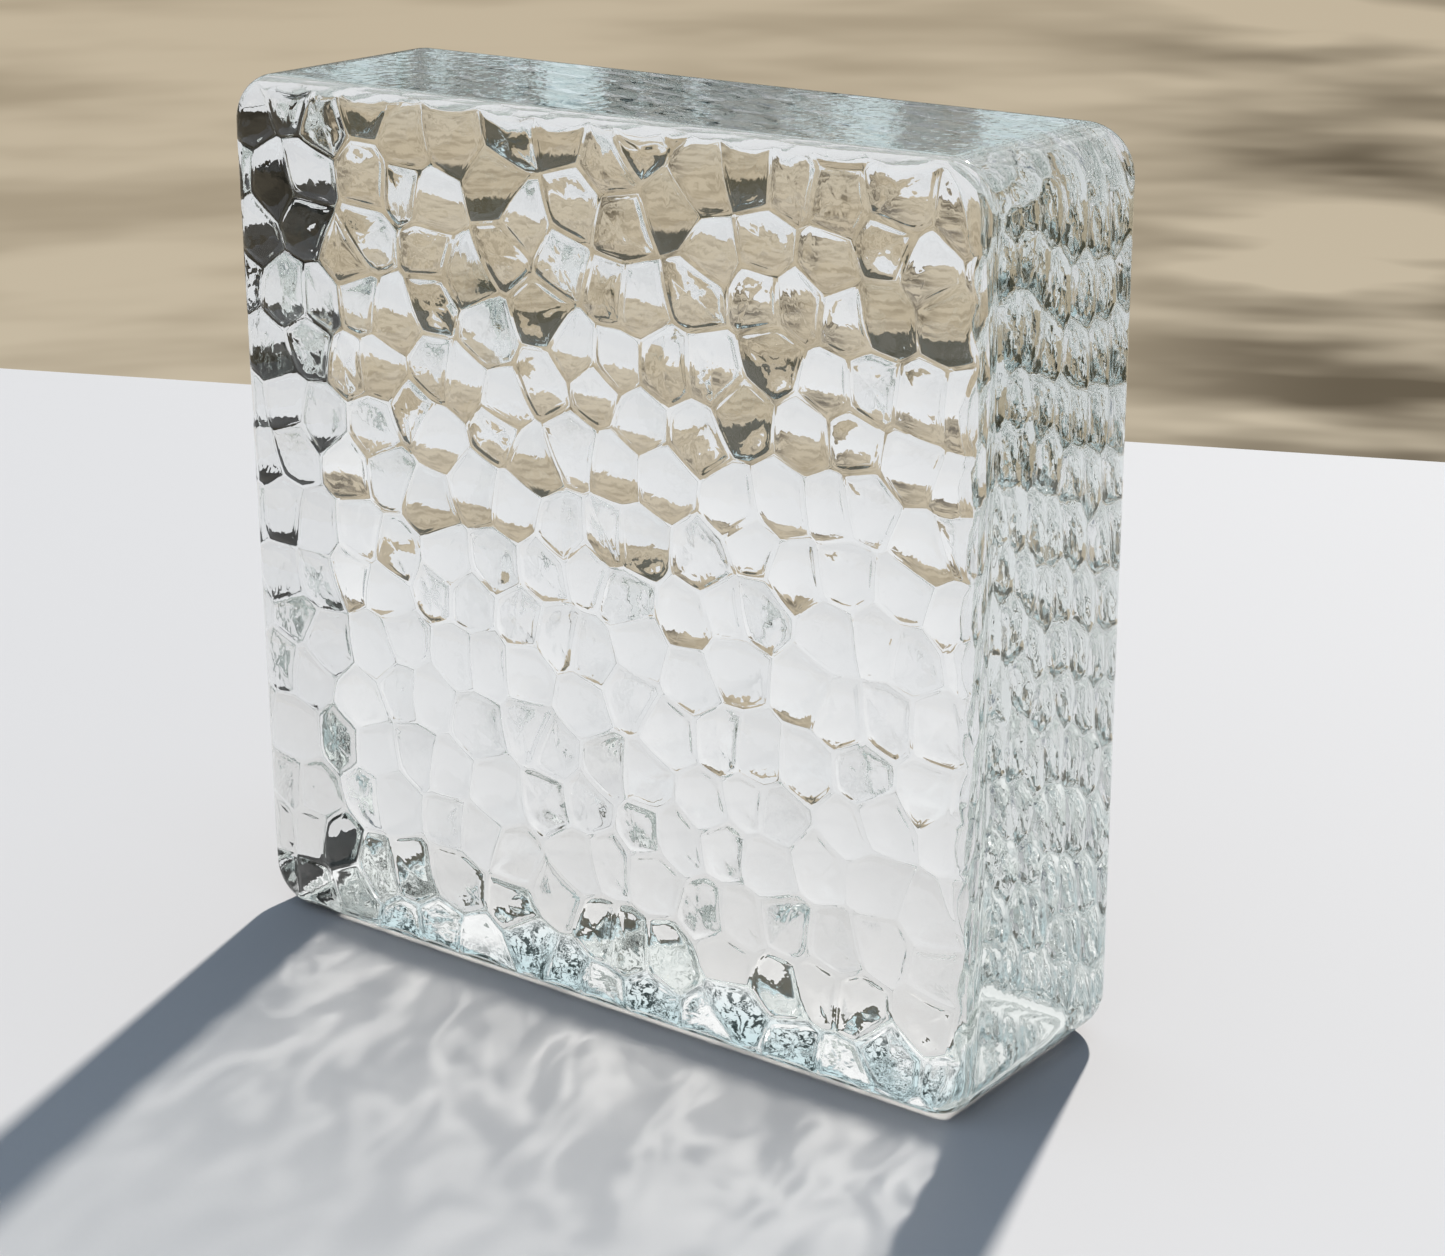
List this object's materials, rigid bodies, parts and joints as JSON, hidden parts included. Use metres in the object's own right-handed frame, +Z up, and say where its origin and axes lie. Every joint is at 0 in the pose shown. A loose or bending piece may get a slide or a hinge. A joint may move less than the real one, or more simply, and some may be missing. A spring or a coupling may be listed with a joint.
{
  "type": "solid glass block",
  "caption": "Square solid cast glass block with rounded corners, smooth flat sides and irregular convex pillows over its front and back faces.",
  "frame": {"origin": "middle of the flat narrow side that the block stands on", "axes": "+X along the block's width, +Y through its depth from the front face to the back face, +Z up"},
  "size_m": [0.2, 0.06, 0.2],
  "materials": {
    "cast_glass": "clear low-iron glass, fire-polished, with a faint cool green tint through its thickness"
  },
  "bodies": {
    "root": {"glass_block": "cast_glass"}
  },
  "joints": []
}
